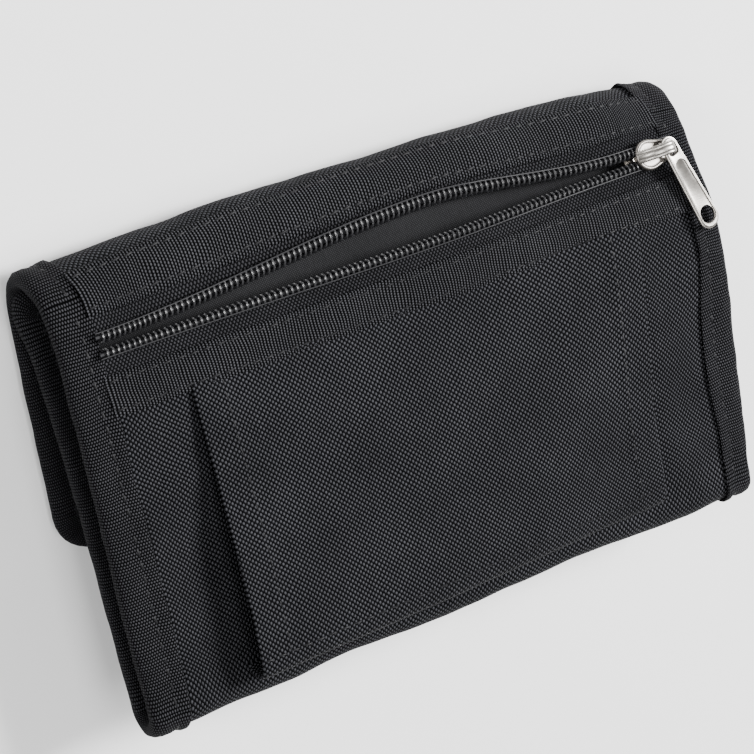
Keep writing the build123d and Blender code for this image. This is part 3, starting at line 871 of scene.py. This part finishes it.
def zip_half(side, xs, half):
    """The pieces of both lips from one end of the zip to the middle of its mouth."""
    lower = ("back", "lower_lip", *half)
    upper = ("back", "upper_lip", *half)
    gx, gw = np.meshgrid(xs, WEB_EDGES)
    gl = L_SLOPE + 0.4 + gw
    p = Piece(f"webbing_lower_strip_{side}")
    p.sheet(shell(gx, gl, 0.6, -1), shell(gx, gl, 0.6 + np.maximum(web_profile(gw), 0.01), -1),
            np.stack([gx, gw], -1))
    for w in (1.6, 8.4):
        place, total = straight_row(xs[0], L_SLOPE + 0.4 + w, xs[-1], L_SLOPE + 0.4 + w, 1.25, -1)
        stitches(p, place, total)
    web = p.make([WEBBING, THREAD], lower)

    p = Piece(f"zip_tape_lower_{side}")
    panel(p, xs, L_SLOPE + np.array([1.5, 4, 7, 10, 11.5, 13, 14.5, 16.0]), 0.0, 0.45, lip=-1, angle=1)
    low_tape = p.make([KNIT], lower)

    p = Piece(f"zip_tape_upper_{side}")
    gx, gw = np.meshgrid(xs, np.array([0.6, 2, 3.5, 5, 6.5, 8, 9.5, 11, 12.5]))
    gl = L_SLOPE + ZIP_S + gw + MOUTH_UP * mouth(gx)
    p.sheet(shell(gx, gl, 0.05, 1), shell(gx, gl, 0.45, 1), np.stack([gl, gx], -1))
    high_tape = p.make([KNIT], upper)

    coils = []
    for lip, name, body in ((-1, "lower", lower), (1, "upper", upper)):
        p = Piece(f"zip_coil_{name}_{side}")
        pitch, wire = 1.52, 0.3
        start, end = (xs[0] + 1.0, xs[-1]) if side == "left" else (xs[0], xs[-1] - 1.0)
        turns = np.arange(start / pitch, end / pitch, 1 / 14)
        ring = np.linspace(0, 2 * math.pi, 7)[:-1]
        t = 2 * math.pi * turns
        cx = turns * pitch + 0.12 * pitch * np.sin(2 * t)
        cs = -lip * 1.2 * np.cos(t)
        ch = 0.95 * np.sin(t)
        centre = np.stack([cx, cs, ch], -1)
        ahead = np.gradient(centre, axis=0)
        ahead /= np.linalg.norm(ahead, axis=1)[:, None]
        outward = np.stack([0 * cx, cs / 1.2**2, ch / 0.95**2], -1)
        outward -= ahead * np.sum(outward * ahead, 1)[:, None]
        outward /= np.linalg.norm(outward, axis=1)[:, None]
        beside = np.cross(ahead, outward)
        head = 1 + 0.3 * np.clip(-lip * cs / 1.2, 0, 1) ** 6
        loops = centre[:, None, :] + wire * head[:, None, None] * (
            np.cos(ring)[None, :, None] * outward[:, None, :] + np.sin(ring)[None, :, None] * beside[:, None,
                                                                                                     :]
        )
        base_s = ZIP_S + lip * (COIL_OFFSET - 0.1) + (MOUTH_UP * mouth(loops[..., 0]) if lip > 0 else 0)
        points = shell(loops[..., 0], L_SLOPE + base_s + loops[..., 1], 1.75 + loops[..., 2], lip)
        p.tube(points, np.stack([loops[..., 0], loops[..., 1]], -1))
        for offset, radius in ((0.0, 0.55), (lip * 0.95, 0.18)):
            line = span(xs[0], xs[-1], 1.6)
            gx, ga = np.meshgrid(line, ring)
            gx, ga = gx.T, ga.T
            base = ZIP_S + lip * COIL_OFFSET + (MOUTH_UP * mouth(gx) if lip > 0 else 0) + offset
            h = 1.75 if offset == 0 else 2.5
            cord = shell(gx, L_SLOPE + base + radius * np.cos(ga), h + radius * np.sin(ga), lip)
            p.tube(cord, np.stack([gx, ga], -1), 1)
        coils.append(p.make([COIL, CORE], body))
    return web, low_tape, high_tape, coils


left, right = zip_half("left", X_LEFT, LEFT_HALF), zip_half("right", X_RIGHT, RIGHT_HALF)
for web, low_tape, high_tape, (low_coil, high_coil) in (left, right):
    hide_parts("webbing_lower")
    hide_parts("zip_tape_lower")
    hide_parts("zip_tape_upper")
    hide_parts("zip_coil_lower")
    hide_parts("zip_coil_upper")

# ---- Closure tapes and card pockets -----------------------------------------------------------------

HOOK_START, HOOK_END = -8.0, 14.0
hook_l = [L_FLAP + CREST_Y - v for v in (HOOK_END, HOOK_START)]
p = Piece("flap_hook_tape")
panel(p, span(-81.8, 81.8, 2.0), span(*hook_l, 1.5), -4.3, -3.15)
obj = p.make([PILE], "flap")
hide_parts("hook_tape")

inner_y0 = np.interp(L_IN, LINE[:, 0], LINE[:, 1])
loop_l = [L_IN - (v - inner_y0) * 1.006 for v in (HOOK_END, HOOK_START)]
p = Piece("inner_loop_tape")
panel(p, span(-81.8, 81.8, 2.0), span(*loop_l, 1.5), 0.05, 1.0)
obj = p.make([PILE], "inner_panel")
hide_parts("loop_tape")

p = Piece("card_pocket_cloth")
CARD_WIDTH = 88.0
CARD_POCKETS = ((14.0, 66.0), (14.0, 52.0))
for step, (start, end) in enumerate(CARD_POCKETS):
    top = -3.2 - 0.65 * step
    panel(p, span(-74, 14, 2.0), span(L_IN - end, L_IN - start, 2.0), top - 0.5, top)
    place, total = straight_row(-73.0, L_IN - end + 1.5, 13.0, L_IN - end + 1.5, top - 0.52)
    stitches(p, place, total)
obj = p.make([LINING, THREAD], "inner_panel",
             flat=(CARD_WIDTH, sum(end - start for start, end in CARD_POCKETS)),
             rests=["inner_panel_lining_cloth"])
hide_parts("card_pockets")

# ---- Slider and puller ------------------------------------------------------------------------------

PULLER_X, SWING_H = 80.4, 5.9
SLOPE_OUT = np.array([0.0, math.sin(SLOPE), math.cos(SLOPE)])
SLOPE_DOWN = np.array([0.0, math.cos(SLOPE), -math.sin(SLOPE)])
ZIP_MIDDLE = np.array([0.0, SLOPE_Y, THICKNESS]) + ZIP_S * SLOPE_DOWN


def on_slope(x, s, h):
    """Row-frame millimetres above the slope: x along the zip, s down the slope from it, h out of it."""
    x, s, h = (np.asarray(v, float)[..., None] for v in np.broadcast_arrays(x, s, h))
    return ZIP_MIDDLE + x * np.array([1.0, 0, 0]) + s * SLOPE_DOWN + h * SLOPE_OUT


def hull(x0, r0, x1, r1, count=28):
    """The outline round two circles on the x axis, anticlockwise."""
    lean = math.acos((r0 - r1) / (x1 - x0))
    tip = np.linspace(-lean, lean, count)
    head = np.linspace(lean, 2 * math.pi - lean, count)
    return np.concatenate([
        np.column_stack([x1 + r1 * np.cos(tip), r1 * np.sin(tip)]),
        np.column_stack([x0 + r0 * np.cos(head), r0 * np.sin(head)]),
    ])


def oval(x, length, width, power=2.0, count=40):
    """An anticlockwise oval about (x, 0); a higher power makes it squarer."""
    a = np.linspace(0, 2 * math.pi, count, endpoint=False)
    c, d = np.cos(a), np.sin(a)
    return np.column_stack([
        x + length / 2 * np.sign(c) * np.abs(c) ** (2 / power),
        width / 2 * np.sign(d) * np.abs(d) ** (2 / power)
    ])


class Plate(Piece):
    """A flat metal part with rounded rims and holes, in its own plane."""

    def __init__(self, name, place):
        super().__init__(name)
        self.place = place

    def rim(self, outline, profile, hole=False):
        """Rows of points round an outline: profile gives each row's offset into the metal and its height."""
        ahead = np.roll(outline, -1, 0) - np.roll(outline, 1, 0)
        ahead /= np.linalg.norm(ahead, axis=1)[:, None]
        inward = np.column_stack([-ahead[:, 1], ahead[:, 0]]) * (-1 if hole else 1)
        rows = [(outline + offset * inward, height) for offset, height in profile]
        points = np.stack([self.place(row[:, 0], row[:, 1], height) for row, height in rows])
        flat = np.stack([row for row, height in rows])
        base = self.grid(points, flat, around=True)
        count = len(outline)
        return [(base + i * count, flat[i]) for i in (0, -1 + len(profile))]

    def cap(self, *rings):
        """Fills the face between rings, the first outside the others."""
        loops = [[Vector((x, y, 0)) for x, y in flat] for start, flat in rings]
        index = np.concatenate([start + np.arange(len(flat)) for start, flat in rings])
        for corners in tessellate_polygon(loops):
            self.faces.append(tuple(int(index[c]) for c in corners))
            self.slots.append(0)


def rounded(top, low, radius, rings=4):
    """An edge rounded above and below, from the top face round to the bottom face."""
    turn = np.linspace(0, math.pi / 2, rings + 1)
    upper = [(radius * (1 - math.sin(a)), top - radius * (1 - math.cos(a))) for a in turn]
    return upper + [(offset, low + top - height) for offset, height in reversed(upper)]


yaw, tilt = math.radians(17.5), math.radians(10)
pull_at = on_slope(PULLER_X, 0, SWING_H)
pull_along = np.array([math.sin(yaw), -math.cos(yaw) * math.cos(tilt), math.cos(yaw) * math.sin(tilt)])
pull_out = np.array([0.0, math.sin(tilt), math.cos(tilt)])
pull_across = np.cross(pull_out, pull_along)


def on_puller(x, y, h):
    x, y, h = (np.asarray(v, float)[..., None] for v in np.broadcast_arrays(x, y, h))
    crown = -0.05 * (x - 9) ** 2 / 40
    return pull_at + x * pull_along + y * pull_across + (h + crown) * pull_out


PULL_TOP, PULL_LOW, RECESS = 0.7, -0.6, 0.42
PULL_TIP, PULL_EYE = 21.8, 20.8
p = Plate("zip_puller", on_puller)
edge = p.rim(hull(-0.5, 2.4, PULL_TIP - 0.2, 3.1), [
    (0.72, PULL_TOP - 0.01), (0.62, PULL_TOP), (0.5, PULL_TOP - 0.06), (0.44, PULL_TOP - 0.3),
    (0.36, PULL_TOP - 0.36),
    (0.1, PULL_TOP - 0.38), (0.0, PULL_TOP - 0.58), (0.0, PULL_LOW + 0.3), (0.1, PULL_LOW + 0.08),
    (0.3, PULL_LOW),
])
window = p.rim(oval(0.35, 3.7, 3.1, 3.4), rounded(PULL_TOP - 0.01, PULL_LOW, 0.2), hole=True)
dish = p.rim(hull(5.3, 1.62, PULL_EYE + 0.05, 2.4), [
    (0.0, PULL_TOP - 0.01), (-0.05, PULL_TOP - 0.05), (-0.09, PULL_TOP - 0.18),
    (-0.13, PULL_TOP - RECESS + 0.06),
    (-0.22, PULL_TOP - RECESS),
], hole=True)
hole = p.rim(oval(PULL_EYE, 5.2, 4.25, 2.1), [
    (0.0, PULL_TOP - RECESS), (-0.05, PULL_TOP - RECESS - 0.08), (-0.06, 0.0), (-0.03, PULL_LOW + 0.2),
    (0.1, PULL_LOW + 0.05), (0.25, PULL_LOW),
], hole=True)
p.cap(edge[0], window[0], dish[0])
p.cap(dish[1], hole[0])
p.cap(edge[1], window[1], hole[1])
puller = p.make([NICKEL], "puller", smooth_below=35)
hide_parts("puller")

p = Plate("slider_cap", on_slope)
top = 4.15
edge = p.rim(hull(75.1, 4.05, 79.9, 2.7), [
    (1.3, top - 0.22), (0.95, top - 0.2), (0.75, top - 0.08), (0.55, top), (0.36, top - 0.05),
    (0.15, top - 0.25),
    (0.02, top - 0.55), (0.0, 3.2), (0.15, 3.1), (0.5, 3.1),
])
p.cap(edge[0])
p.cap(edge[1])
for side in (-1, 1):
    wall_x = np.linspace(73.8, 76.2, 9)
    wall_s = side * (3.72 - 0.03 * (wall_x - 75.1) ** 2)
    gx, gh = np.meshgrid(wall_x, np.linspace(0.75, 3.6, 7))
    inner = on_slope(gx, wall_s[None, :] - side * 0.22, gh)
    outer = on_slope(gx, wall_s[None, :] + side * 0.06 * np.sin((gh - 0.75) / 2.85 * math.pi), gh)
    p.sheet(inner, outer, np.stack([gx, gh], -1))
slider_cap = p.make([SHADED_CAP_NICKEL], "slider", smooth_below=40)
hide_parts("slider_top_plate")

BAIL = [
    (71.7, 3.9), (72.2, 4.6), (73.2, 5.7), (74.8, 6.9), (76.6, 7.7), (78.4, 8.05), (79.8, 7.95), (80.6, 7.3),
    (80.75, 6.2), (80.6, 5.0), (80.3, 3.9),
]
run, line, normal = curve_through(BAIL, 0.35)
BAIL_SECTION = np.array([
    (1.6, 0.0), (1.56, 0.24), (1.42, 0.42), (1.1, 0.47), (0.8, 0.46), (0.66, 0.38), (0.52, 0.47), (0.0, 0.5),
    (-0.52, 0.47), (-0.66, 0.38), (-0.8, 0.46), (-1.1, 0.47), (-1.42, 0.42), (-1.56, 0.24), (-1.6, 0.0),
    (-1.46, -0.3), (-1.1, -0.42), (0.0, -0.42), (1.1, -0.42), (1.46, -0.3),
])
narrow = 1 - 0.33 * smooth((run - run[-1] + 4.4) / 2.5)
p = Piece("slider_strap")
loops = on_slope(
    line[:, :1] + normal[:, :1] * BAIL_SECTION[:, 1], BAIL_SECTION[:, 0] * narrow[:, None],
    line[:, 1:] + normal[:, 1:] * BAIL_SECTION[:, 1],
)
p.tube(loops, np.stack(np.broadcast_arrays(run[:, None], BAIL_SECTION[:, 0]), -1))
strap = p.make([NICKEL], "slider", smooth_below=60)
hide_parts("slider_bail")

for name in ("slider_bottom_plate", "slider_post"):
    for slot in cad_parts[name].material_slots:
        slot.material = NICKEL

# ---- Floor, light and camera ------------------------------------------------------------------------

floor_mesh = bpy.data.meshes.new("floor")
reach = 3.0
floor_mesh.from_pydata([(-reach, -reach, 0), (reach, -reach, 0), (reach, reach, 0), (-reach, reach, 0)], [],
                       [(0, 1, 2, 3)])
floor = bpy.data.objects.new("floor", floor_mesh)
bpy.context.scene.collection.objects.link(floor)
n = Nodes("pale_floor")
n.put(n.shader.inputs["Base Color"],
      n.mix(n.noise(n.place(), 40.0), (0.86, 0.86, 0.86, 1), (0.89, 0.89, 0.89, 1)))
n.shader.inputs["Roughness"].default_value = 0.9
floor_mesh.materials.append(n.material)
floor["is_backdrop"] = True

CENTRE = Vector((0, 0, 0.02))


def area_light(name, place, size, power, colour=(1, 1, 1)):
    data = bpy.data.lights.new(name, "AREA")
    data.shape = "RECTANGLE"
    data.size, data.size_y = size
    data.energy = power
    data.color = colour
    lamp = bpy.data.objects.new(name, data)
    bpy.context.scene.collection.objects.link(lamp)
    lamp.location = place
    lamp.rotation_euler = (CENTRE - lamp.location).to_track_quat("-Z", "Y").to_euler()


area_light("key", (0.78, 0.28, 0.82), (0.36, 0.36), 38)
area_light("top", (-0.1, 0.0, 1.25), (0.9, 0.5), 10)
area_light("left", (-0.72, 0.3, 0.7), (0.3, 0.3), 6)
world = bpy.data.worlds.new("studio")
bpy.context.scene.world = world
world.use_nodes = True
world.node_tree.nodes["Background"].inputs[0].default_value = (1, 1, 1, 1)
world.node_tree.nodes["Background"].inputs[1].default_value = 0.42

camera_data = bpy.data.cameras.new("camera")
camera_data.sensor_width = 36
camera_data.lens = 136.3
camera = bpy.data.objects.new("camera", camera_data)
bpy.context.scene.collection.objects.link(camera)
back = Vector((-0.426, 0.344, 0.836)).normalized()
side_way = Vector((0.848, -0.170, 0.503))
up = back.cross(side_way).normalized()
side_way = up.cross(back).normalized()
pose = Matrix((side_way, up, back)).transposed().to_4x4()
pose.translation = Vector((-0.3157, 0.2538, 0.6207))
camera.matrix_world = pose
bpy.context.scene.camera = camera

low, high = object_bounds()
